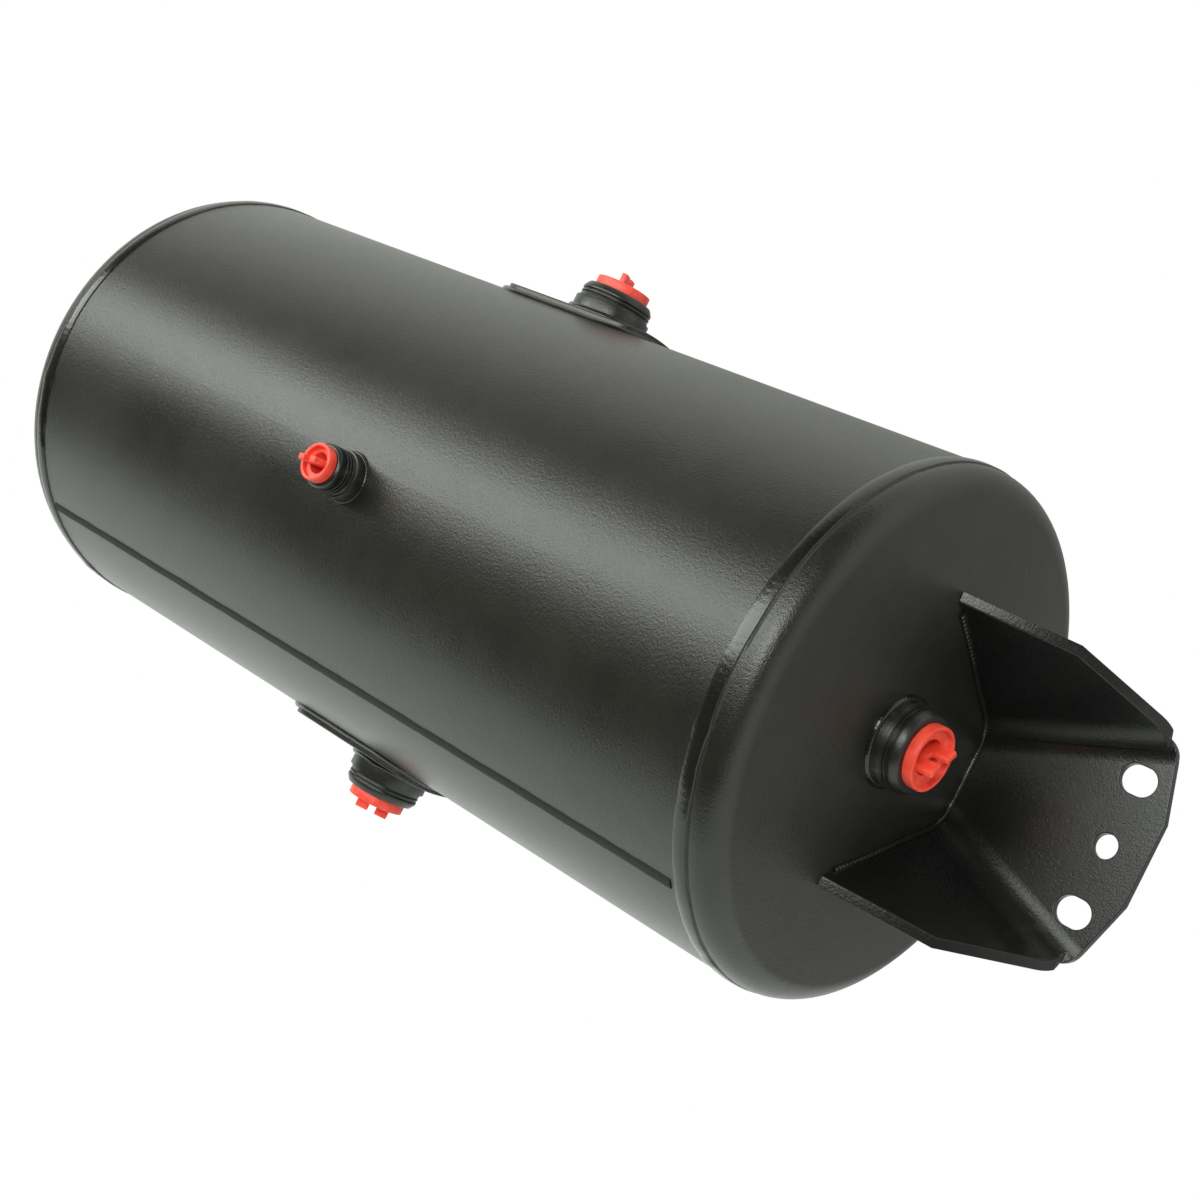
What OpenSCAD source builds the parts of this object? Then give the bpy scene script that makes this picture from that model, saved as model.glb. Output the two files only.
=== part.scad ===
// Steel pressure reservoir with domed ends, four plugged ports and two end brackets.
// +X runs along the tank axis to the front head, +Z up through the top port.
// The origin is the centre of the bolt pattern, on the mounting plane of the brackets (y = 0).

/* [Tank] */
// Outside diameter of the shell
tank_d = 246; // [230:2:270]
// Length of the shell between the two girth joints
shell_len = 492; // [300:4:900]
// Wall thickness of the shell and the heads
wall = 3; // [2:0.5:4]
// Straight skirt of a head, from the girth joint to the knuckle
head_skirt = 5; // [3:1:15]
// Radius of the knuckle where a head turns in
knuckle_r = 13; // [10:1:20]
// Radius of the shallow crown of a head
crown_r = 2000; // [800:100:3000]
// Length of the head's joggled lip inside the shell
lip_len = 9; // [5:1:15]

/* [Welds] */
// Width of the girth weld beads
girth_w = 10; // [6:1:14]
// Height of the girth weld beads above the shell
girth_h = 1.6; // [0.8:0.2:2.4]
// Width of the long seam weld
seam_w = 6; // [4:1:9]
// Height of the long seam weld above the shell
seam_h = 0.9; // [0.5:0.1:1.5]
// Angle of the long seam below the side port
seam_angle = 48; // [35:1:60]
// Leg of the fillet welds round the large ports
fillet = 2; // [1.5:0.5:4]
// Leg of the fillet weld round the side port
side_fillet = 1; // [0.5:0.5:2.5]
// Leg of the fillet welds along the foot of a bracket
bracket_fillet = 2; // [1.5:0.5:3]

/* [Ports] */
// Bore of the three large ports (tapping size of an M22 x 1.5 thread)
bore_d = 20.4; // [18:0.2:22]
// Bore of the small side port (tapping size of an M16 x 1.5 thread)
side_bore_d = 14.4; // [12:0.2:15]
// Place of the top port along the tank
top_port_x = -5; // [-20:1:0]
// Place of the bottom port along the tank
bottom_port_x = 0; // [-20:1:0]
// Place of the side port along the tank
side_port_x = 8; // [-120:1:120]
// Drop of the side port below the tank axis
side_port_drop = 4; // [0:1:8]
// Distance of the front port from the tank axis, away from the bracket web
front_port_off = 18; // [0:1:20]
// Body diameter of the three large ports
boss_d = 38; // [34:0.2:44]
// Body diameter of the side port
side_boss_d = 21.6; // [20.6:0.2:30]
// Height of the top and bottom ports above their pads
boss_h = 14.5; // [13.5:0.5:18]
// Height of the front port above its head
front_boss_h = 14; // [12.5:0.5:18]
// Height of the side port above the shell
side_boss_h = 17; // [14:0.5:22]

/* [Pads] */
// Length of the saddle pads along the tank
pad_len = 96; // [80:2:120]
// Width of the saddle pads, before they are wrapped round the shell
pad_w = 58; // [52:2:70]
// Thickness of the saddle pads
pad_t = 4; // [3:0.5:5]
// Place of the pads along the tank
pad_x = -15; // [-20:1:-5]

/* [Plugs] */
// Gap between a plug's shank and its bore
plug_gap = 0.08; // [0.05:0.01:0.1]
// Length of a plug's shank
shank_len = 11; // [8:1:12]
// Flange diameter of the three large plugs
plug_d = 29; // [25:0.5:31]
// Flange diameter of the small side plug
side_plug_d = 18; // [17.5:0.5:20]
// Height of the grip lugs above the boss
grip_h = 10.5; // [8:0.5:12]

/* [Brackets] */
// Sheet thickness of the brackets
sheet = 4; // [3:0.5:5]
// Distance from the mounting plane to the tank axis
axis_off = 54; // [50:1:58]
// Inside radius of the two bends
bend_r = 18; // [8:1:19]
// Half width of the web where it meets the head
web_root = 22.5; // [20:0.5:26]
// Half width of the web at its tip corners
web_tip = 52; // [48:1:56]
// Length of the web past the head, to its end edge
web_len = 91; // [85:1:110]
// Distance across the trough from the web to the free edges of the flanges
flange_depth = 74; // [60:1:80]
// Sideways lean of the flanges, as a slope
flange_lean = 0.56; // [0.4:0.02:0.7]
// Half of the straight part of the end edge
end_half = 19; // [12:1:24]

/* [Mounting holes] */
// Distance between the slots of one bracket
slot_pitch = 62; // [56:1:64]
// Width of a slot (M12 bolt)
slot_w = 13; // [11:0.5:14]
// End-to-end length of a slot
slot_len = 17; // [15:0.5:20]
// Diameter of the round hole between the slots
pilot_d = 11; // [8:0.5:12]
// Distance from the end edge of the web to the row of holes
hole_inset = 19.5; // [18:0.5:24]

/* [Hidden] */
$fn = 96;

paint = [0.10, 0.105, 0.095];
bead_paint = [0.16, 0.165, 0.15];
plastic = [0.88, 0.12, 0.09];

tank_r = tank_d / 2;
joint_x = shell_len / 2;
bore_r = bore_d / 2;
side_bore_r = side_bore_d / 2;
hole_clear = 1;
past = 20;

// Head profile: the knuckle and the crown are tangent to each other at knuckle_end degrees off the axis.
knuckle_c = tank_r - knuckle_r;
knuckle_end = asin(knuckle_c / (crown_r - knuckle_r));
crown_c = head_skirt - (crown_r - knuckle_r) * cos(knuckle_end);
head_rise = crown_c + crown_r;
head_x = joint_x + head_rise;
knuckle_steps = 20;
crown_steps = 10;

function arc(cx, cy, r, from, to, steps) =
    [for (i = [0:steps]) let (a = from + (to - from) * i / steps) [cx + r * cos(a), cy + r * sin(a)]];

function head_edge(inset) = concat(
    arc(knuckle_c, head_skirt, knuckle_r - inset, 0, 90 - knuckle_end, knuckle_steps),
    [for (i = [1:crown_steps]) let (a = knuckle_end * (1 - i / crown_steps))
        [(crown_r - inset) * sin(a), crown_c + (crown_r - inset) * cos(a)]]);

function reversed(list) = [for (i = [len(list) - 1:-1:0]) list[i]];

module on_axis() { translate([0, -axis_off, 0]) children(); }
module along_x() { rotate([0, 90, 0]) children(); }
module both_ends(front) { if (front) children(); else mirror([1, 0, 0]) children(); }

// Places a port on the shell: local +Z points outwards from the tank axis.
module radial(side) {
    x = side == "top" ? top_port_x : side == "bottom" ? bottom_port_x : side_port_x;
    drop = side == "side" ? side_port_drop : 0;
    turn = side == "top" ? 0 : side == "bottom" ? 180 : 90;
    on_axis() translate([x, 0, -drop]) rotate([turn, 0, 0]) children();
}

// Outward direction of the front port, from the plane of the front girth joint.
module axial() { on_axis() translate([joint_x, -front_port_off, 0]) along_x() children(); }

// Solid round bar on the tank axis, used to shape whatever sits on the shell.
module bar(r) { along_x() cylinder(r = r, h = 2 * head_x, center = true, $fn = 360); }

module head_solid() {
    on_axis() translate([joint_x, 0, 0]) along_x()
        rotate_extrude($fn = 180) polygon(concat([[0, 0], [tank_r, 0]], head_edge(0)));
}

// ---- pressure vessel ----

module shell() {
    color(paint) difference() {
        on_axis() along_x() difference() {
            cylinder(r = tank_r, h = shell_len, center = true, $fn = 180);
            cylinder(r = tank_r - wall, h = shell_len + 2, center = true, $fn = 180);
        }
        for (side = ["top", "bottom"])
            radial(side) cylinder(r = bore_r + hole_clear, h = tank_r + past);
        radial("side") cylinder(r = side_bore_r + hole_clear, h = tank_r + past);
    }
}

module head_cup() {
    outer = concat([[tank_r, 0]], head_edge(0));
    inner = concat([[tank_r - wall, lip_len / 2]], head_edge(wall));
    lip = [[tank_r - 2 * wall, lip_len / 2], [tank_r - 2 * wall, -lip_len], [tank_r - wall, -lip_len],
        [tank_r - wall, 0]];
    rotate_extrude($fn = 180) polygon(concat(outer, reversed(inner), lip));
}

module head(front) {
    color(paint) difference() {
        both_ends(front) on_axis() translate([joint_x, 0, 0]) along_x() head_cup();
        if (front) axial() cylinder(r = bore_r + hole_clear, h = 2 * head_rise);
    }
}

module front_head() { head(true); }
module rear_head() { head(false); }

// A low bead is a slice of a circle whose chord is w and whose rise is h.
function bead_r(w, h) = (w * w / 4 + h * h) / (2 * h);

module girth_weld(front) {
    r = bead_r(girth_w, girth_h);
    rise_angle = asin(girth_w / 2 / r);
    color(bead_paint) both_ends(front) on_axis() translate([joint_x, 0, 0]) along_x()
        rotate_extrude($fn = 180) polygon(arc(tank_r + girth_h - r, 0, r, -rise_angle, rise_angle, 12));
}

module front_girth_weld() { girth_weld(true); }
module rear_girth_weld() { girth_weld(false); }

module seam_weld() {
    r = bead_r(seam_w, seam_h);
    color(bead_paint) on_axis() difference() {
        rotate([90 + seam_angle, 0, 0]) translate([0, 0, tank_r + seam_h - r]) along_x()
            cylinder(r = r, h = shell_len - girth_w, center = true, $fn = 64);
        bar(tank_r);
    }
}

// ---- saddle pads ----

module rounded_rect(l, w, r) {
    square([l - 2 * r, w], center = true);
    square([l, w - 2 * r], center = true);
    for (x = [-1, 1], y = [-1, 1]) translate([x * (l / 2 - r), y * (w / 2 - r)]) circle(r);
}

pad_corner = 20;
pad_bead = 2.4;
pad_bead_h = 2.2;

// Plate wrapped on the shell, seen from above the tank axis at x = 0 of the assembly.
module saddle(grow, thick) {
    intersection() {
        translate([pad_x, 0, tank_r / 2]) linear_extrude(tank_r)
            rounded_rect(pad_len + 2 * grow, pad_w + 2 * grow, pad_corner + grow);
        difference() {
            bar(tank_r + thick);
            bar(tank_r);
        }
    }
}

module turned_to(side) { rotate([side == "top" ? 0 : 180, 0, 0]) children(); }

module pad(side) {
    color(paint) difference() {
        on_axis() turned_to(side) saddle(0, pad_t);
        radial(side) cylinder(r = bore_r + hole_clear, h = tank_r + past);
    }
}

module pad_weld(side) {
    color(bead_paint) on_axis() turned_to(side) difference() {
        saddle(pad_bead, pad_bead_h);
        translate([pad_x, 0, 0]) linear_extrude(2 * tank_r) rounded_rect(pad_len, pad_w, pad_corner);
    }
}

module top_pad() { pad("top"); }
module bottom_pad() { pad("bottom"); }
module top_pad_weld() { pad_weld("top"); }
module bottom_pad_weld() { pad_weld("bottom"); }

// ---- ports: turned bosses set on the surface and fillet welded ----

root_depth = 6;
mouth = 1.2;
groove = 0.9;
groove_pitch = 2;
groove_start = 1.6;
top_face = tank_r + pad_t + boss_h;
side_face = tank_r + side_boss_h;
front_face = head_rise + front_boss_h;

// Foot of a boss: how far it stands out from the body, and how high it is.
boss_foot = [1.4, 6];
side_foot = [1, 6];
front_foot = [0.4, 5];
// Bevel round the face of a boss: how far it goes in, and how far down.
boss_bevel = [1.8, 2.8];
side_bevel = [1, 1];

function grooves(r, z, count) =
    [for (i = [0:count - 1], p = [[0, 0], [-groove, 0], [-groove, groove], [0, groove]])
        [r + p[0], z + i * groove_pitch + p[1]]];

// Outline of a boss from its root to the bore; 0 is the surface that it stands on.
function boss_outline(b, r, foot, bevel, rings, h) = concat(
    [[r + foot[0], -root_depth], [r + foot[0], foot[1]], [r, foot[1]]],
    grooves(r, foot[1] + groove_start, rings),
    [[r, h - bevel[1]], [r - bevel[0], h], [b + mouth, h], [b, h - mouth], [b, -root_depth]]);

module large_boss(foot, h) {
    rotate_extrude() polygon(boss_outline(bore_r, boss_d / 2, foot, boss_bevel, 2, h));
}

module padded_port(side) {
    color(paint) difference() {
        radial(side) translate([0, 0, tank_r + pad_t]) large_boss(boss_foot, boss_h);
        on_axis() bar(tank_r + pad_t);
    }
}

module top_port() { padded_port("top"); }
module bottom_port() { padded_port("bottom"); }

module side_port() {
    color(paint) difference() {
        radial("side") translate([0, 0, tank_r]) rotate_extrude()
            polygon(boss_outline(side_bore_r, side_boss_d / 2, side_foot, side_bevel, 3, side_boss_h));
        on_axis() bar(tank_r);
    }
}

module front_port() {
    color(paint) difference() {
        axial() translate([0, 0, head_rise]) large_boss(front_foot, front_boss_h);
        head_solid();
    }
}

// Fillet of a boss of radius r on a surface: slightly hollow, deep enough to reach a curved surface.
module fillet_ring(r, leg) {
    hollow = leg * 0.4;
    rotate_extrude() polygon([[r, -root_depth], [r + leg, -root_depth], [r + leg, 0], [r + hollow, hollow],
        [r, leg]]);
}

module radial_port_weld(side, base, r, leg) {
    color(bead_paint) difference() {
        radial(side) translate([0, 0, base]) fillet_ring(r, leg);
        on_axis() bar(base);
    }
}

module top_port_weld() { radial_port_weld("top", tank_r + pad_t, boss_d / 2 + boss_foot[0], fillet); }
module bottom_port_weld() { radial_port_weld("bottom", tank_r + pad_t, boss_d / 2 + boss_foot[0], fillet); }
module side_port_weld() { radial_port_weld("side", tank_r, side_boss_d / 2 + side_foot[0], side_fillet); }

module front_port_weld() {
    color(bead_paint) difference() {
        axial() translate([0, 0, head_rise]) fillet_ring(boss_d / 2 + front_foot[0], fillet);
        head_solid();
    }
}

// ---- transit plugs: hollow push-in caps with a ribbed shank and a notched grip bar ----

flange_t = 2.6;
rim_t = 2.4;
rim_w = 1.6;
cup_wall = 2;
cup_floor = 1.5;
grip_t = 3;
notch = 4;
rib_cut = 0.7;
rib_w = 1;
rib_pitch = 1.5;
tip_chamfer = 1;
rib_turn = 0.5;
// Turn of the grip bar of each plug about its own axis
top_turn = 115;
bottom_turn = 140;
side_turn = 8;
front_turn = 139;

function ribs(r) =
    [for (z = [-shank_len + rib_w:rib_pitch:-rib_w - rib_turn], p = [[0, 0], [-rib_cut, rib_turn], [0, rib_w]])
        [r + p[0], z + p[1]]];

module plug(b, d) {
    r = b - plug_gap;
    cup = r - cup_wall;
    rim = d / 2 - rim_w;
    color(plastic) {
        rotate_extrude() polygon(concat(
            [[0, -shank_len], [r - tip_chamfer, -shank_len], [r, -shank_len + tip_chamfer]],
            ribs(r),
            [[r, 0], [d / 2, 0], [d / 2, flange_t + rim_t], [rim, flange_t + rim_t],
                [rim, flange_t], [cup, flange_t], [cup, cup_floor - shank_len], [0, cup_floor - shank_len]]));
        difference() {
            intersection() {
                translate([-b, -grip_t / 2, cup_floor / 2 - shank_len])
                    cube([2 * b, grip_t, shank_len - cup_floor / 2 + grip_h]);
                translate([0, 0, -shank_len]) cylinder(r = cup + cup_wall / 4, h = 2 * shank_len + grip_h);
            }
            translate([-notch / 2, -grip_t, flange_t]) cube([notch, 2 * grip_t, grip_h]);
        }
    }
}

module large_plug(turn) { rotate([0, 0, turn]) plug(bore_r, plug_d); }

module top_plug() { radial("top") translate([0, 0, top_face]) large_plug(top_turn); }
module bottom_plug() { radial("bottom") translate([0, 0, top_face]) large_plug(bottom_turn); }
module side_plug() {
    radial("side") translate([0, 0, side_face]) rotate([0, 0, side_turn]) plug(side_bore_r, side_plug_d);
}
module front_plug() { axial() translate([0, 0, front_face]) large_plug(front_turn); }

// ---- end brackets: sheet folded into a trough along two lines that spread towards the tip ----

tip_x = head_x + web_len;
hole_x = round(tip_x - hole_inset);
bite = 3;
root_x = head_x - bite;
corner_r = 9;
corner_in = 17;
corner_x = tip_x - corner_in;
corner_z = web_tip - 8;
fold_run = web_len - 10;
fold_angle = atan((web_tip - web_root) / fold_run);
bend = 90 - atan(flange_lean * cos(fold_angle));
bend_back = bend_r * tan(bend / 2);
bend_steps = 10;
reach = 150;
// Free edge of a flange: level up to edge_start, then down past the knee to the end of the lip.
free_y = -sheet - flange_depth;
edge_start = [head_x - 4, free_y];
knee = [head_x + 44.4, free_y + 29];
lip_end = [corner_x + 4, -sheet - 1];

// Section of one half of the sheet, across its fold line, between two distances from its inner face.
// The sharp fold of the inner face would be at 0, 0.
function half_section(inner, outer) =
    let (side = function (d) concat([[-reach, -d]],
        arc(-bend_back, bend_r, bend_r + d, -90, bend - 90, bend_steps),
        [[-bend_back + (bend_r + d) * sin(bend) + reach * cos(bend),
            bend_r - (bend_r + d) * cos(bend) + reach * sin(bend)]]))
    concat(side(outer), reversed(side(inner)));

module half_sheet(inner, outer) {
    translate([root_x, -sheet, web_root]) rotate([0, -fold_angle, 0]) rotate([90, 0, 0]) rotate([90, 0, 90])
        translate([0, 0, -reach / 2]) linear_extrude(2 * reach) polygon(half_section(inner, outer));
}

// Outline seen along Z.
module side_outline() {
    linear_extrude(2 * reach, center = true) polygon([[joint_x, reach], [joint_x, free_y], edge_start,
        knee, lip_end, [tip_x, lip_end[1]], [tip_x, reach]]);
}

// Outline of the upper half seen along Y: rounded tip corner and slanted end edge.
module plan_outline() {
    corner = arc(corner_x, corner_z, corner_r, 70, 20, 6);
    rotate([90, 0, 0]) linear_extrude(2 * reach, center = true)
        polygon(concat([[joint_x, 0], [joint_x, reach], [corner[0][0], reach]], corner,
            [[tip_x, end_half], [tip_x, 0]]));
}

module bracket_sheet() {
    for (up = [0, 1]) mirror([0, 0, up]) intersection() {
        half_sheet(0, sheet);
        side_outline();
        plan_outline();
    }
}

module slot(x, z) {
    travel = (slot_len - slot_w) / 2;
    translate([x, 0, z]) rotate([90, 0, 0]) {
        for (s = [-1, 1]) translate([s * travel, 0, 0]) cylinder(r = slot_w / 2, h = 40, center = true);
        cube([2 * travel, slot_w, 40], center = true);
    }
}

module bracket(front) {
    color(paint) both_ends(front) difference() {
        bracket_sheet();
        head_solid();
        for (s = [-1, 1]) slot(hole_x, s * slot_pitch / 2);
        translate([hole_x, 0, 0]) rotate([90, 0, 0]) cylinder(r = pilot_d / 2, h = 40, center = true);
    }
}

module front_bracket() { bracket(true); }
module rear_bracket() { bracket(false); }

// Weld run along the foot of a bracket: a low band on the head on both sides of the sheet.
// It stays short of the mounting plane and of the free edges.
weld_short = 4;

module bracket_weld(front) {
    depth = flange_depth + sheet - weld_short;
    color(bead_paint) both_ends(front) difference() {
        for (up = [0, 1]) mirror([0, 0, up]) intersection() {
            half_sheet(-bracket_fillet, sheet + bracket_fillet);
            translate([joint_x, -depth, 0]) cube([head_rise + bracket_fillet, depth, reach]);
        }
        head_solid();
        bracket_sheet();
    }
}

module front_bracket_weld() { bracket_weld(true); }
module rear_bracket_weld() { bracket_weld(false); }

shell();
seam_weld();
front_head();
rear_head();
front_girth_weld();
rear_girth_weld();
front_bracket();
rear_bracket();
front_bracket_weld();
rear_bracket_weld();
top_pad();
bottom_pad();
top_pad_weld();
bottom_pad_weld();
top_port();
bottom_port();
side_port();
front_port();
top_port_weld();
bottom_port_weld();
side_port_weld();
front_port_weld();
top_plug();
bottom_plug();
side_plug();
front_plug();
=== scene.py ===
from math import atan2, cos, exp, hypot, pi, radians, sin, sqrt, tan, tau

import bmesh
import bpy
from mathutils import Matrix, Vector, noise


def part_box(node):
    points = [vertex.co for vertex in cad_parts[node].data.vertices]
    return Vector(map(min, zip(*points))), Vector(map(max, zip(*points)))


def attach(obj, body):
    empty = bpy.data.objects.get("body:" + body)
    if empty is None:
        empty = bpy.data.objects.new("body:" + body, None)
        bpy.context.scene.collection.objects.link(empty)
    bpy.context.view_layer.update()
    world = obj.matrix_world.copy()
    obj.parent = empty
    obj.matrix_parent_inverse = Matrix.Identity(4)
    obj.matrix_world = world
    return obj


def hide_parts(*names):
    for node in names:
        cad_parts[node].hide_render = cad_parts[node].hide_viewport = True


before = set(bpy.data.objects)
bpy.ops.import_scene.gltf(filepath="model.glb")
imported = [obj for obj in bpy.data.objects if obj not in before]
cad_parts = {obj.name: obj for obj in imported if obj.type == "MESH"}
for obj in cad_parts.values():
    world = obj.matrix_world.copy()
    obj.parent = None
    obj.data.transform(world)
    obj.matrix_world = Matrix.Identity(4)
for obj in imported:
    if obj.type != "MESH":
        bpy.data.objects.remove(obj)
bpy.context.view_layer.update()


# ---- studio ----
# A white tent, bright all round but nearly dark in front, with a long strip light and a small corner light
# in front of the tank. A pale floor lies well below and ends in front of it. The camera stands level off the
# front end and is rolled about its own axis.

camera = bpy.data.objects.new("camera", bpy.data.cameras.new("camera"))
bpy.context.collection.objects.link(camera)
bpy.context.scene.camera = camera
camera.data.lens = 58.37
camera.data.sensor_width = 36
camera_azimuth, camera_roll = radians(39.75), radians(26.57)
camera_place = Matrix.Translation((0.680, -0.783, -0.0025))
level = Matrix.Rotation(camera_azimuth, 4, "Z") @ Matrix.Rotation(pi / 2, 4, "X")
camera.matrix_world = camera_place @ level @ Matrix.Rotation(camera_roll, 4, "Z")
bpy.context.scene.view_settings.view_transform = "Standard"


class Wire:
    """One output of a shader node: arithmetic on it adds Math nodes, and node() adds any other kind."""

    def __init__(self, tree, socket=None):
        self.tree = tree
        self.socket = socket

    def node(self, kind, settings=None, inputs=None, output=0):
        made = self.tree.nodes.new("ShaderNode" + kind)
        for name, value in (settings or {}).items():
            if name == "stops":
                elements = made.color_ramp.elements
                elements.remove(elements[1])
                elements[0].position, elements[0].color = value[0]
                for place, colour in value[1:]:
                    elements.new(place).color = colour
            else:
                setattr(made, name, value)
        for name, value in (inputs or {}).items():
            if isinstance(value, Wire):
                self.tree.links.new(value.socket, made.inputs[name])
            else:
                made.inputs[name].default_value = value
        return Wire(self.tree, made.outputs[output] if made.outputs else None)

    def maths(self, operation, first, second=0.0):
        return self.node("Math", {"operation": operation}, {0: first, 1: second})

    def __add__(self, other):
        return self.maths("ADD", self, other)

    def __sub__(self, other):
        return self.maths("SUBTRACT", self, other)

    def __rsub__(self, other):
        return self.maths("SUBTRACT", other, self)

    def __mul__(self, other):
        return self.maths("MULTIPLY", self, other)

    def __abs__(self):
        return self.maths("ABSOLUTE", self)

    __radd__ = __add__
    __rmul__ = __mul__

    def rise(self, low, high):
        """0 below low, 1 above high, and smooth between them."""
        settings = {"interpolation_type": "SMOOTHSTEP"}
        return self.node("MapRange", settings, {"Value": self, "From Min": low, "From Max": high})

    def shade(self, colour_0, colour_1):
        """colour_0 where this is 0, colour_1 where it is 1."""
        return self.node("Mix", {"data_type": "RGBA"}, {0: self, 6: colour_0, 7: colour_1}, 2)

    def cells(self, scale, detail=2.0):
        """Soft noise about 0.5 at this place, with scale cells to the metre."""
        return self.node("TexNoise", None, {"Vector": self, "Scale": scale, "Detail": detail})


world = bpy.data.worlds.new("tent")
bpy.context.scene.world = world
world.use_nodes = True
world.node_tree.nodes.clear()
sky = Wire(world.node_tree)
tent_glow = [
    (0.0, 0.45), (0.16, 0.55), (0.22, 0.80), (0.28, 0.95), (0.35, 1.10), (0.43, 1.15), (0.51, 1.20),
    (0.58, 1.00), (0.64, 0.60), (0.70, 0.22), (0.76, 0.08), (1.0, 0.08),
]
tent_peak = max(glow for place, glow in tent_glow)
tent_tint = Vector((0.96, 1.0, 0.93))
tent_stops = [(place, (*tent_tint * (glow / tent_peak), 1)) for place, glow in tent_glow]
heading = sky.node("TexCoord", None, None, "Generated")
frontness = sky.node("VectorMath", {"operation": "DOT_PRODUCT"}, {0: heading, 1: (0, -1, 0)}, "Value")
tent = sky.node("ValToRGB", {"stops": tent_stops}, {0: frontness * 0.5 + 0.5})
tent_light = sky.node("Background", None, {"Color": tent, "Strength": tent_peak})
backdrop = sky.node("Background", None, {"Color": (1, 1, 1, 1), "Strength": 1.0})
seen = sky.node("LightPath", None, None, "Is Camera Ray")
around = sky.node("MixShader", None, {0: seen, 1: tent_light, 2: backdrop})
sky.node("OutputWorld", None, {"Surface": around})


def softbox(name, place, width, height, glow):
    """A rectangular light at place that faces the tank, with its long side level."""
    light = bpy.data.objects.new(name, bpy.data.lights.new(name, "AREA"))
    bpy.context.collection.objects.link(light)
    light.data.shape = "RECTANGLE"
    light.data.size, light.data.size_y = width, height
    light.data.energy = glow * pi * width * height
    light.data.color = tent_tint
    facing = Vector(place).to_track_quat("Z", "Y").to_matrix().to_4x4()
    light.matrix_world = Matrix.Translation(place) @ facing


softbox("strip_light", (-0.3, -1.95, 0.46), 5.2, 0.85, 6.4)
softbox("corner_light", (1.2, -2.2, 0.55), 0.8, 0.5, 8.0)

floor_half, floor_place = (3, 1.5, 1), (0, 0.90, -0.8)
floor_mesh = bmesh.new()
bmesh.ops.create_grid(floor_mesh, x_segments=1, y_segments=1, size=1)
bmesh.ops.scale(floor_mesh, verts=floor_mesh.verts, vec=floor_half)
bmesh.ops.translate(floor_mesh, verts=floor_mesh.verts, vec=floor_place)
floor = bpy.data.objects.new("floor", bpy.data.meshes.new("floor"))
bpy.context.collection.objects.link(floor)
floor_mesh.to_mesh(floor.data)
floor_mesh.free()
floor_finish = bpy.data.materials.new("pale_floor")
floor_finish.use_nodes = True
floor_shader = floor_finish.node_tree.nodes["Principled BSDF"].inputs
floor_shader["Base Color"].default_value = (0.42, 0.49, 0.43, 1)
floor_shader["Roughness"].default_value = 0.7
floor_shader["Emission Color"].default_value = (1, 1, 1, 1)
floor_shader["Emission Strength"].default_value = 0.75
floor.data.materials.append(floor_finish)


# ---- shell and heads ----
# The shell is rolled steel plate and the heads are pressed steel. All of it is sprayed satin black over
# bare metal, with a fine orange peel and thin and thick patches.

shell_low, shell_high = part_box("shell")
axis_y = (shell_low.y + shell_high.y) / 2
tank_r = (shell_high.z - shell_low.z) / 2
joint_x = shell_high.x
skirt_x = joint_x + 0.0055
head_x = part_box("front_head")[1].x


def sprayed_paint(name, dark, light, roughness, peel=1.0, detail=None):
    """Satin paint. detail(place, colour, roughness) may change the colour and roughness first."""
    material = bpy.data.materials.new(name)
    material.use_nodes = True
    material.node_tree.nodes.clear()
    start = Wire(material.node_tree)
    place = start.node("TexCoord", None, None, "Object")
    patches = place.cells(14, 3)
    streaks = place.cells(70, 4)
    skin = place.cells(650, 1)
    grit = place.cells(1500, 2)
    colour = (patches * 0.6 + streaks * 0.4).rise(0.3, 0.7).shade(dark, light)
    rough = roughness + (patches - 0.5) * 0.10 + (grit - 0.5) * 0.16
    if detail:
        colour, rough = detail(place, colour, rough)
    height = skin * (0.08 * peel) + grit * (0.12 * peel)
    relief = place.node("Bump", None, {"Strength": 1.0, "Distance": 0.001, "Height": height})
    inputs = {"Base Color": colour, "Roughness": rough, "Normal": relief}
    surface = place.node("BsdfPrincipled", None, inputs)
    place.node("OutputMaterial", None, {"Surface": surface})
    return material


def joint_dust_and_shade(place, colour, rough):
    """A crevice, broken here and there, where a head's skirt meets the girth bead: darkened by dust and
    painted shade, and duller.
    """
    along = abs(place.node("SeparateXYZ", None, {0: place}, "X"))
    gap = abs(along - skirt_x)
    # Darkens the tank colour in the crevice with dust and painted shade.
    crevice = (1 - gap.rise(0.0003, 0.0009)) * place.cells(60, 2).rise(0.30, 0.45)
    return crevice.shade(colour, (0.002, 0.002, 0.002, 1)), rough + crevice * 0.3


black_dark, black_light = (0.0070, 0.0062, 0.0048, 1), (0.0140, 0.0128, 0.0100, 1)
tank_black = sprayed_paint("tank_black", black_dark, black_light, 0.31, 1.0, joint_dust_and_shade)
for part in ("shell", "front_head", "rear_head"):
    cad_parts[part].data.materials.clear()
    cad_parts[part].data.materials.append(tank_black)


# ---- girth welds ----
# Automatic weld runs round each end join a head to the shell. The bead is low and flat, with very faint
# ripples, and has two lumps where runs start and stop. It is painted with the tank.

one_surface = radians(38)


def keep_flats_flat(data):
    """Corner normals weighted by face area, so that a bend beside a large flat face leaves it flat."""
    around = [[] for vert in data.vertices]
    for face in data.polygons:
        for index in face.vertices:
            around[index].append((face.normal.copy(), face.area))
    normals = []
    for face in data.polygons:
        for index in face.vertices:
            total = Vector((0, 0, 0))
            for normal, area in around[index]:
                if normal.dot(face.normal) > cos(one_surface):
                    total += normal * area
            normals.append(total.normalized())
    data.normals_split_custom_set(normals)


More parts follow.
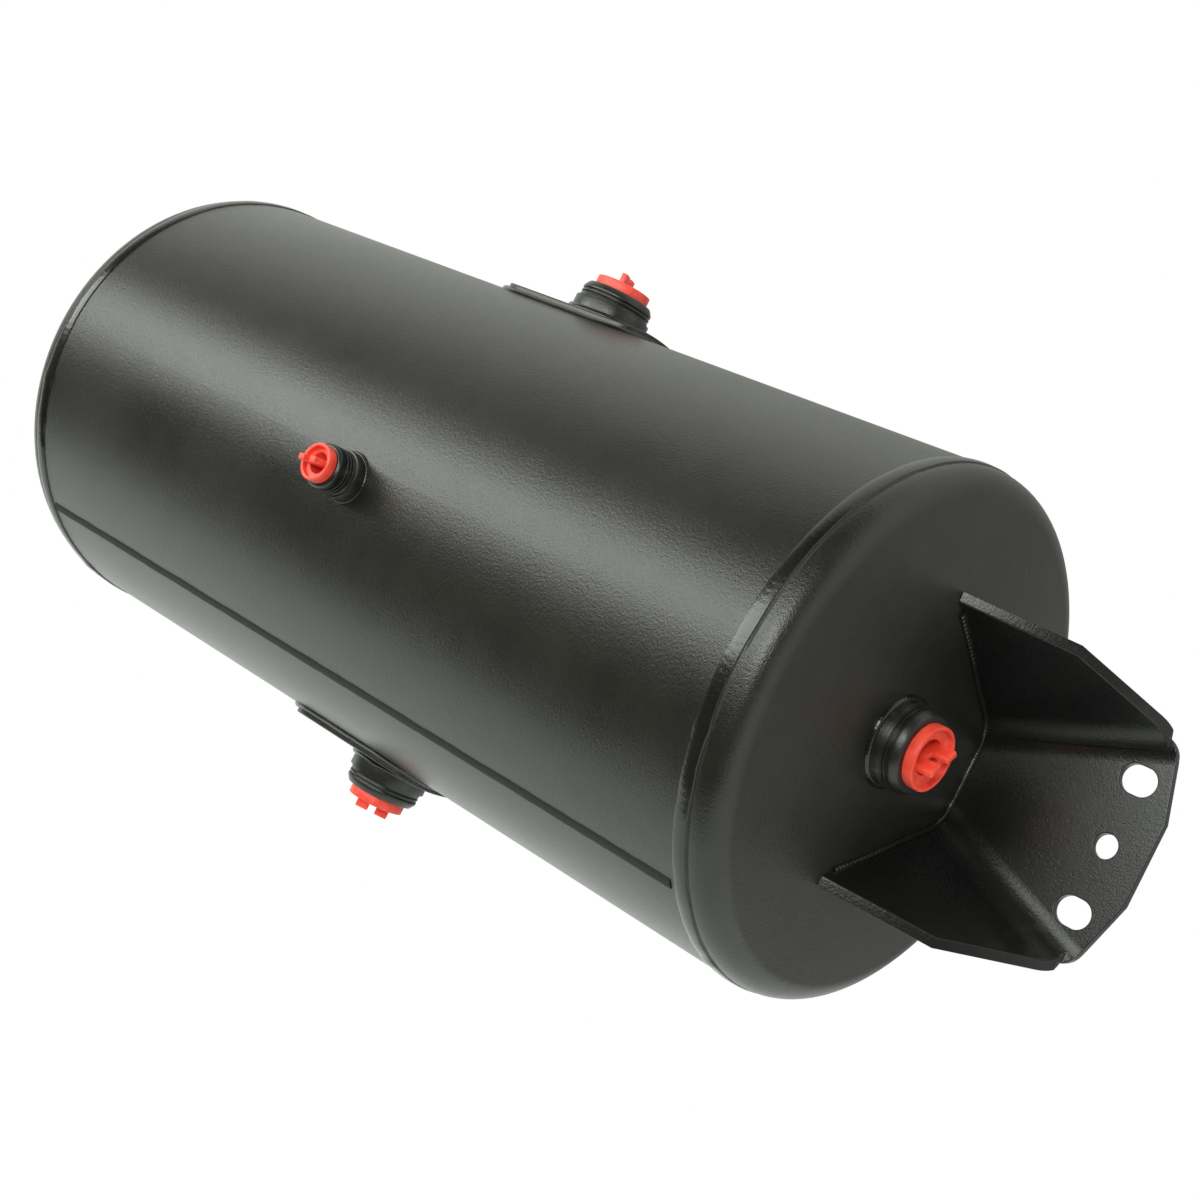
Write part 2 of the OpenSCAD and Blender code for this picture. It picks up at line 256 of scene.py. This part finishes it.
def finished(name, shape, material, slot, body, *nodes, flat=False):
    """Makes the object, smooth but for its real edges, and seats it on its body in place of CAD nodes."""
    data = bpy.data.meshes.new(name)
    shape.to_mesh(data)
    shape.free()
    data.shade_smooth()
    data.set_sharp_from_angle(angle=one_surface)
    if flat:
        keep_flats_flat(data)
    data.materials.append(material)
    piece = bpy.data.objects.new(name, data)
    bpy.context.collection.objects.link(piece)
    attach(piece, body)
    if nodes:
        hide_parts(*nodes)
    return piece


wander_scale, lump_reach, sway_reach = 110, 0.004, 0.0004


def lay_bead(shape, place, length, width, height, pitch=0.0024, root=0.001, ripple=0.10, lumps=()):
    """A weld bead along a run. place(run, across, lift) gives the point; run goes from 0 to 1."""
    ripples = max(3, round(length / pitch))
    grid = bmesh.ops.create_grid(shape, x_segments=5 * ripples, y_segments=14, size=0.5)
    for vert in grid["verts"]:
        run, turn = vert.co.x + 0.5, (vert.co.y + 0.5) * tau
        ring = Vector((cos(run * tau), sin(run * tau), 0)) * length * wander_scale / tau
        wander = noise.noise(ring)
        sway = noise.noise(ring * 0.4 + Vector((0, 0, 7)))
        lump = sum(exp(-((((run - at + 0.5) % 1 - 0.5) * length / lump_reach) ** 2)) for at in lumps)
        edge = cos(turn)
        crescent = 0.5 + 0.5 * cos(tau * (run * ripples + 0.55 * (1 - edge * edge)))
        across = edge * width / 2 * (1 + 0.10 * wander + 0.15 * lump)
        swell = 1 + 0.10 * wander + ripple * crescent + 0.4 * lump
        lift = height * max(sin(turn), 0) ** 0.7 * swell if sin(turn) > 0 else root * sin(turn)
        vert.co = place(run, across + sway_reach * sway, lift)
    bmesh.ops.remove_doubles(shape, verts=grid["verts"], dist=0.000004)
    open_ends = [edge for edge in shape.edges if edge.is_boundary]
    bmesh.ops.holes_fill(shape, edges=open_ends)
    bmesh.ops.recalc_face_normals(shape, faces=shape.faces)


def weld_scale(place, colour, rough):
    """Rubbed, slightly shinier crests and brown oxide specks under thin paint."""
    oxide = place.cells(420, 3).rise(0.62, 0.75)
    return oxide.shade(colour, (0.020, 0.016, 0.012, 1)), rough - place.cells(900, 1) * 0.15


weld_black = sprayed_paint(
    "weld_black", (0.005, 0.005, 0.004, 1), (0.011, 0.010, 0.008, 1), 0.26, 0.4, weld_scale
)
girth_low, girth_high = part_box("front_girth_weld")
girth_x = joint_x + 0.001
girth_width = (girth_high.x - girth_low.x) * 0.72
girth_height = (girth_high.z - tank_r) * 0.6
girth_pitch, girth_lumps = 0.0034, (0.463, 0.303)


def around_tank(side, x, radius, angle):
    return Vector((side * x, axis_y - radius * cos(angle), radius * sin(angle)))


for name, side in (("front_girth_weld", 1), ("rear_girth_weld", -1)):
    bead = bmesh.new()
    lay_bead(
        bead,
        lambda run, across, lift: around_tank(side, girth_x + across, tank_r + lift, (run - 0.5) * tau),
        tank_r * tau, girth_width, girth_height, girth_pitch, ripple=0.03, lumps=girth_lumps,
    )
    finished(name.replace("weld", "bead"), bead, weld_black, "weld_paint", "tank", name)


# ---- long seam ----
# The butt joint of the rolled plate: a straight narrow bead from one girth weld to the other, low on the
# side that faces the front. Its paint is dull, and its colour is darkened as painted shade, so that it reads
# as a shaded groove.

seam_low, seam_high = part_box("seam_weld")
seam_y, seam_z = (seam_low.y + seam_high.y) / 2 - axis_y, (seam_low.z + seam_high.z) / 2
seam_angle = atan2(seam_z, -seam_y)
seam_length = seam_high.x - seam_low.x
seam_width, seam_height, seam_pitch = 0.0054, 0.0006, 0.0021
seam = bmesh.new()
lay_bead(
    seam,
    lambda run, across, lift: around_tank(
        1, (run - 0.5) * seam_length, tank_r + lift, seam_angle + across / tank_r
    ),
    seam_length, seam_width, seam_height, seam_pitch, ripple=0.05,
)
# Far darker than the tank's paint: painted shade, so that the raised bead reads as a shaded groove.
seam_painted_shade = sprayed_paint("seam_painted_shade", (0.001, 0.0012, 0.001, 1), (0.003, 0.003, 0.0025, 1), 0.80, 1.5)
finished("seam_bead", seam, seam_painted_shade, "weld_paint", "tank", "seam_weld")


# ---- saddle pads ----
# Two plates with round corners, rolled to the shell, spread the load of the top and bottom ports. Their
# cut edges are eased by the paint, and a bead runs all round each.

real_edge = radians(35)


def eased_copy(node, radius):
    """The CAD node's shape with its facets joined into faces and its real edges rounded."""
    shape = bmesh.new()
    shape.from_mesh(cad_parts[node].data)
    bmesh.ops.remove_doubles(shape, verts=shape.verts, dist=0.000002)
    bmesh.ops.dissolve_limit(shape, angle_limit=radians(0.6), verts=shape.verts, edges=shape.edges)
    edges = [edge for edge in shape.edges if edge.is_manifold and edge.calc_face_angle() > real_edge]
    bmesh.ops.bevel(
        shape, geom=edges, offset=radius, offset_type="OFFSET", affect="EDGES", segments=3,
        profile=0.5, material=-1, clamp_overlap=False,
    )
    return shape


pad_low, pad_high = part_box("top_pad")
pad_centre_x = (pad_low.x + pad_high.x) / 2
pad_half = Vector(((pad_high.x - pad_low.x) / 2, (pad_high.y - pad_low.y) / 2))
pad_corner, pad_ease = 0.020, 0.0006
pad_bead_out, pad_bead_width, pad_bead_height, pad_bead_pitch = 0.0006, 0.0044, 0.0018, 0.0022


def rounded_run(half, corner, run):
    """Point and outward direction at run (0 to 1) round a rectangle with round corners."""
    straight_x, straight_y = 2 * (half.x - corner), 2 * (half.y - corner)
    quarter = corner * pi / 2
    s = run * (2 * straight_x + 2 * straight_y + 4 * quarter)
    centre = Vector((half.x - corner, half.y - corner))
    for turn, stretch in enumerate((straight_y, straight_x, straight_y, straight_x)):
        spin = Matrix.Rotation(turn * pi / 2, 2)
        reach = half.x if turn % 2 == 0 else half.y
        if s <= stretch:
            return spin @ Vector((reach, s - stretch / 2)), spin @ Vector((1, 0))
        s -= stretch
        if s <= quarter:
            out = spin @ Vector((cos(s / corner), sin(s / corner)))
            middle = spin @ Vector((reach - corner, stretch / 2))
            return middle + out * corner, out
        s -= quarter
    return spin @ Vector((reach, stretch / 2)), spin @ Vector((1, 0))


for name, up in (("top", 1), ("bottom", -1)):
    plate = eased_copy(name + "_pad", pad_ease)
    finished(name + "_saddle", plate, tank_black, "tank_paint", "tank", name + "_pad", flat=True)

    def along_pad(run, across, lift):
        edge, out = rounded_run(pad_half, pad_corner, run)
        x, y = edge + out * (across + pad_bead_out)
        return Vector((pad_centre_x + x, axis_y + y, up * (sqrt(tank_r ** 2 - y * y) + lift)))

    bead = bmesh.new()
    pad_girth = 4 * (pad_half.x + pad_half.y) - 8 * pad_corner + pad_corner * tau
    lay_bead(bead, along_pad, pad_girth, pad_bead_width, pad_bead_height, pad_bead_pitch)
    finished(name + "_pad_bead", bead, weld_black, "weld_paint", "tank", name + "_pad_weld")


# ---- ports ----
# Four turned steel bosses are fillet welded on: one on each pad, one on the front head and a smaller one on
# the side. Fine grooves run round them, the mouths are chamfered, and the bores are tapped.

port_turn = {
    "top": Matrix.Identity(4),
    "bottom": Matrix.Rotation(pi, 4, "X"),
    "side": Matrix.Rotation(pi / 2, 4, "X"),
    "front": Matrix.Rotation(pi / 2, 4, "Y"),
}


def port_frame(name):
    """Port coordinates: Z points out along the bore, from the tank's axis or, at the front, its middle."""
    low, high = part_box(name + "_port")
    centre = (low + high) / 2
    along = {"front": (0, centre.y, centre.z), "side": (centre.x, axis_y, centre.z)}
    return Matrix.Translation(along.get(name, (centre.x, axis_y, 0))) @ port_turn[name]


def turned(outline, place, ease=0.0003, steps=96):
    """A turned part: (radius, height) points spun round the bore axis, with its rims eased."""
    part = bmesh.new()
    corners = [part.verts.new((radius, 0, height)) for radius, height in outline]
    edges = [part.edges.new(pair) for pair in zip(corners, corners[1:])]
    if outline[0][0] > 0:
        edges.append(part.edges.new((corners[-1], corners[0])))
    bmesh.ops.spin(
        part, geom=corners + edges, cent=(0, 0, 0), axis=(0, 0, 1), angle=tau, steps=steps, use_merge=True,
    )
    bmesh.ops.remove_doubles(part, verts=part.verts, dist=0.000005)
    bmesh.ops.recalc_face_normals(part, faces=part.faces)
    rims = [edge for edge in part.edges if edge.is_manifold and edge.calc_face_angle() > real_edge]
    bmesh.ops.bevel(
        part, geom=rims, offset=ease, offset_type="OFFSET", affect="EDGES", segments=2, profile=0.5,
        material=-1, clamp_overlap=True,
    )
    bmesh.ops.transform(part, matrix=place, verts=part.verts)
    return part


def tapped(bore, mouth, face, root, pitch=0.0015, depth=0.0005):
    """Outline of a tapped bore from its chamfered mouth down to its root."""
    points = [(bore + mouth, face), (bore, face - mouth)]
    z = face - mouth - pitch / 2
    while z > root + pitch:
        points += [(bore, z), (bore + depth, z - pitch / 2)]
        z -= pitch
    return points + [(bore, root)]


def turning_marks(place, colour, rough):
    """Thin paint on the turned rims: brighter, smoother and slightly worn in patches."""
    worn = place.cells(160, 3).rise(0.55, 0.75)
    return (worn * 0.5).shade(colour, (0.05, 0.05, 0.048, 1)), rough - worn * 0.08


boss_black = sprayed_paint(
    "boss_black", (0.006, 0.0065, 0.006, 1), (0.013, 0.013, 0.012, 1), 0.34, 0.6, turning_marks
)
root_depth, mouth = 0.006, 0.0012
large_bore, side_bore = 0.0102, 0.0072
groove_cut, groove_slope, groove_start, groove_pitch = 0.0009, 0.0001, 0.0016, 0.002


def ring_grooves(radius, first, count):
    points = []
    for i in range(count):
        low = first + i * groove_pitch
        high, bottom = low + groove_cut, radius - groove_cut
        points += [(radius, low), (bottom, low + groove_slope), (bottom, high - groove_slope), (radius, high)]
    return points


top_face, pad_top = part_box("top_port")[1].z, pad_high.z
side_face, front_face = axis_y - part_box("side_port")[0].y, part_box("front_port")[1].x
foot_radii = {}
for name, across_axis in (("top", 0), ("bottom", 0), ("side", 2), ("front", 2)):
    low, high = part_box(name + "_port")
    foot_radii[name] = (high - low)[across_axis] / 2
for name, base, face, bore, step, step_h, rings, bevel_in, bevel_down in (
    ("top", pad_top, top_face, large_bore, 0.0014, 0.006, 2, 0.0018, 0.0028),
    ("bottom", pad_top, top_face, large_bore, 0.0014, 0.006, 2, 0.0018, 0.0028),
    ("side", tank_r, side_face, side_bore, 0.0010, 0.006, 3, 0.0010, 0.0010),
    ("front", head_x, front_face, large_bore, 0.0004, 0.005, 2, 0.0018, 0.0028),
):
    foot_r = foot_radii[name]
    body_r = foot_r - step
    outline = [(foot_r, base - root_depth), (foot_r, base + step_h), (body_r, base + step_h)]
    outline += ring_grooves(body_r, base + step_h + groove_start, rings)
    outline += [(body_r, face - bevel_down), (body_r - bevel_in, face)]
    outline += tapped(bore, mouth, face, base - root_depth)
    boss = turned(outline, port_frame(name))
    finished(name + "_boss", boss, boss_black, "tank_paint", "tank", name + "_port")


# ---- port welds ----
# A hand-laid fillet runs round the foot of each boss, one pass, with its ripples close together.

def on_cylinder(radius, drop=0.0):
    return lambda x, y: sqrt(radius * radius - (y - drop) ** 2)


front_off = port_frame("front").translation.y - axis_y
crown_r, port_bead_pitch = 2.0, 0.0018


def on_head(x, y):
    return head_x - crown_r + sqrt(crown_r ** 2 - x * x - (y + front_off) ** 2)


side_drop = -port_frame("side").translation.z
for name, seat, leg in (
    ("top", on_cylinder(pad_top), 0.0020),
    ("bottom", on_cylinder(pad_top), 0.0020),
    ("side", on_cylinder(tank_r, side_drop), 0.0010),
    ("front", on_head, 0.0020),
):
    place, foot_r = port_frame(name), foot_radii[name]

    def round_foot(run, across, lift):
        x, y = (foot_r + across) * cos(run * tau), (foot_r + across) * sin(run * tau)
        return place @ Vector((x, y, seat(x, y) + lift))

    bead = bmesh.new()
    lay_bead(bead, round_foot, foot_r * tau, 1.9 * leg, 0.9 * leg, port_bead_pitch, leg, lumps=(0.2,))
    finished(name + "_port_bead", bead, weld_black, "weld_paint", "tank", name + "_port_weld")


# ---- end brackets ----
# Each is one blank of 4 mm sheet, folded into a trough along two lines that spread towards the tip, and
# welded to the head. Its colour is darker than the tank's, as painted shade for the inside of the trough,
# and lighter in patches near the tip, as painted light where light falls there and as rub marks. Its edges
# are eased.

def tip_light_and_wear(place, colour, rough):
    """Lighter patches growing towards the tip: painted light where the tip is lit, broken up like rub marks
    where brackets are handled and stacked.
    """
    along = abs(place.node("SeparateXYZ", None, {0: place}, "X"))
    near_tip = along.rise(head_x + 0.030, head_x + 0.090)
    lit_and_rubbed = place.cells(130, 4).rise(0.50, 0.72) * near_tip
    # The colour is lightened near the tip: painted light, broken up like rub marks.
    return (lit_and_rubbed * 0.4).shade(colour, (0.022, 0.023, 0.022, 1)), rough + lit_and_rubbed * 0.06


bracket_ease = 0.0005
# Darker than the tank's paint: painted shade for the inside of the trough.
bracket_painted_shade = sprayed_paint(
    "bracket_painted_shade", (0.003, 0.0032, 0.003, 1), (0.006, 0.0062, 0.0055, 1), 0.30, 0.7, tip_light_and_wear
)
for end in ("front", "rear"):
    sheet = eased_copy(end + "_bracket", bracket_ease)
    finished(end + "_trough", sheet, bracket_painted_shade, "tank_paint", "tank", end + "_bracket", flat=True)


# ---- bracket welds ----
# A fillet inside the foot of each trough follows it round both bends, and one lies outside each flange.
# The outside of the web has none, so that it stays flat against the rail.

sheet_t, inner_bend = 0.004, 0.018
fold_angle, flange_lean = radians(20), 0.56
bend = pi / 2 - atan2(flange_lean * cos(fold_angle), 1)
bend_back = inner_bend * tan(bend / 2)
web_half = 0.0236
foot_bead_out, foot_bead_stop = 0.0007, -0.0035
foot_bead_width, foot_bead_height, foot_bead_pitch = 0.0036, 0.0017, 0.0020
flange_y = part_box("front_bracket")[0].y + 0.006


def foot_points(offset, steps=12):
    """Points (y, z) of the upper half of the foot, from flange to web, offset out from its inner face."""
    def across(u, depth):
        return Vector((-sheet_t - depth, web_half + u / cos(fold_angle)))

    radius = inner_bend + offset
    turn = across(radius * sin(bend) - bend_back, inner_bend - radius * cos(bend))
    fall = Vector((-sin(bend), cos(bend) / cos(fold_angle)))
    far = turn + fall * ((turn.x - flange_y) / sin(bend))
    flange = [far.lerp(turn, i / 30) for i in range(30)]
    angles = [bend * (1 - i / steps) for i in range(steps + 1)]
    return flange + [across(radius * sin(a) - bend_back, inner_bend - radius * cos(a)) for a in angles]


def mirrored(points):
    return [Vector((point.x, -point.y)) for point in reversed(points)]


def along_points(points, run):
    """Point and sideways direction at run (0 to 1) along a line of points."""
    spot = run * (len(points) - 1)
    i = min(int(spot), len(points) - 2)
    tangent = (points[i + 1] - points[i]).normalized()
    return points[i].lerp(points[i + 1], spot - i), Vector((-tangent.y, tangent.x))


inside = foot_points(-foot_bead_out)
web_points = [inside[-1].lerp(mirrored(inside)[0], i / 20) for i in range(1, 20)]
outside = [point for point in foot_points(sheet_t + foot_bead_out) if point.x < foot_bead_stop]
for end, side in (("front", 1), ("rear", -1)):
    bead = bmesh.new()
    for points in (inside + web_points + mirrored(inside), outside, mirrored(outside)):

        def along_foot(run, across, lift):
            (y, z), aside = along_points(points, run)
            y, z = y + aside.x * across, z + aside.y * across
            off_axis = hypot(y - axis_y, z)
            return Vector((side * (head_x - crown_r + sqrt(crown_r ** 2 - off_axis ** 2) + lift), y, z))

        total = sum((b - a).length for a, b in zip(points, points[1:]))
        lay_bead(bead, along_foot, total, foot_bead_width, foot_bead_height, foot_bead_pitch)
    finished(end + "_bracket_bead", bead, weld_black, "weld_paint", "tank", end + "_bracket_weld")


# ---- transit plugs ----
# Push-in caps of red polyethylene keep dirt out of the ports. Each has a ribbed shank, a round flange with
# a raised rim, a hollow middle and a grip bar across it with a notch, and pulls straight out.

def moulded_red():
    """Matt, slightly waxy plastic in two reds that drift in soft patches, with fine scuffs."""
    material = bpy.data.materials.new("plug_red")
    material.use_nodes = True
    material.node_tree.nodes.clear()
    start = Wire(material.node_tree)
    place = start.node("TexCoord", None, None, "Object")
    flow = place.cells(220, 3)
    scuff = place.cells(900, 3).rise(0.56, 0.70) * place.cells(120, 1).rise(0.45, 0.65)
    colour = flow.rise(0.35, 0.65).shade((0.74, 0.050, 0.028, 1), (0.84, 0.080, 0.045, 1))
    colour = (scuff * 0.35).shade(colour, (0.85, 0.22, 0.16, 1))
    height = flow * 0.010 + place.cells(1400, 2) * 0.010
    relief = place.node("Bump", None, {"Strength": 1.0, "Distance": 0.001, "Height": height})
    inputs = {"Base Color": colour, "Roughness": 0.38 + flow * 0.12 + scuff * 0.15, "Normal": relief}
    inputs["Subsurface Weight"], inputs["Subsurface Scale"] = 0.25, 0.6
    inputs["Subsurface Radius"] = (0.004, 0.001, 0.0006)
    place.node("OutputMaterial", None, {"Surface": place.node("BsdfPrincipled", None, inputs)})
    return material


plug_red = moulded_red()
flange_t, rim_t, cup_wall, rim_w = 0.0026, 0.0024, 0.0020, 0.0016
shank_len, grip_h, grip_t, notch = 0.011, 0.0105, 0.003, 0.004
plug_gap, tip_chamfer, plug_ease, grip_ease = 0.00008, 0.001, 0.00045, 0.0006
cup_floor = 0.0015 - shank_len
grip_foot = 0.001 - shank_len
rib_pitch, rib_depth, last_rib = 0.0015, 0.0007, -0.0026

for name, bore, face, turn in (
    ("top", large_bore, top_face, 115),
    ("bottom", large_bore, top_face, 140),
    ("side", side_bore, side_face, 8),
    ("front", large_bore, front_face, 139),
):
    low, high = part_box(name + "_plug")
    flange_r = sorted(high - low)[1] / 2
    shank_r, cup_r = bore - plug_gap, bore - plug_gap - cup_wall
    outline = [(0, -shank_len), (shank_r - tip_chamfer, -shank_len), (shank_r, tip_chamfer - shank_len)]
    z = cup_floor
    while z < last_rib:
        outline += [(shank_r, z), (shank_r - rib_depth, z + rib_pitch / 3), (shank_r, z + rib_pitch * 2 / 3)]
        z += rib_pitch
    rim_top, rim_in = flange_t + rim_t, flange_r - rim_w
    outline += [(shank_r, 0), (flange_r, 0), (flange_r, rim_top), (rim_in, rim_top)]
    outline += [(rim_in, flange_t), (cup_r, flange_t), (cup_r, cup_floor), (0, cup_floor)]
    seat = port_frame(name) @ Matrix.Translation((0, 0, face)) @ Matrix.Rotation(radians(turn), 4, "Z")
    cap = turned(outline, Matrix.Identity(4), plug_ease, 72)

    grip = bmesh.ops.create_grid(cap, x_segments=3, y_segments=1, size=0.5)
    half_bar = cup_r + 0.0005
    for vert in grip["verts"]:
        inner = abs(vert.co.x) < 0.4
        vert.co.x = (notch / 2 if inner else half_bar) * (1 if vert.co.x > 0 else -1)
        vert.co.y = grip_t / 2 if vert.co.y > 0 else -grip_t / 2
        vert.co.z = grip_foot
    base_faces = list({face for vert in grip["verts"] for face in vert.link_faces})
    lifted = bmesh.ops.extrude_face_region(cap, geom=base_faces, use_keep_orig=True)
    bar_top = [item for item in lifted["geom"] if isinstance(item, bmesh.types.BMFace)]
    bar_verts = [item for item in lifted["geom"] if isinstance(item, bmesh.types.BMVert)]
    bmesh.ops.translate(cap, verts=bar_verts, vec=(0, 0, flange_t - grip_foot))
    lug_faces = [face for face in bar_top if abs(face.calc_center_median().x) > notch / 2]
    raised = bmesh.ops.extrude_face_region(cap, geom=lug_faces)
    lug_verts = [item for item in raised["geom"] if isinstance(item, bmesh.types.BMVert)]
    bmesh.ops.translate(cap, verts=lug_verts, vec=(0, 0, grip_h - flange_t))
    bmesh.ops.delete(cap, geom=lug_faces, context="FACES_ONLY")
    bar = set(grip["verts"]) | set(bar_verts) | set(lug_verts)
    bar_faces = [face for face in cap.faces if all(vert in bar for vert in face.verts)]
    bmesh.ops.recalc_face_normals(cap, faces=bar_faces)
    bar_edges = [
        edge for edge in cap.edges
        if edge.verts[0] in bar and edge.is_manifold and edge.calc_face_angle() > radians(60)
    ]
    bmesh.ops.bevel(
        cap, geom=bar_edges, offset=grip_ease, offset_type="OFFSET", affect="EDGES", segments=3, profile=0.5,
        material=-1, clamp_overlap=True,
    )
    bmesh.ops.transform(cap, matrix=seat, verts=cap.verts)
    finished(name + "_cap", cap, plug_red, "plug_plastic", name + "_plug_body", name + "_plug")
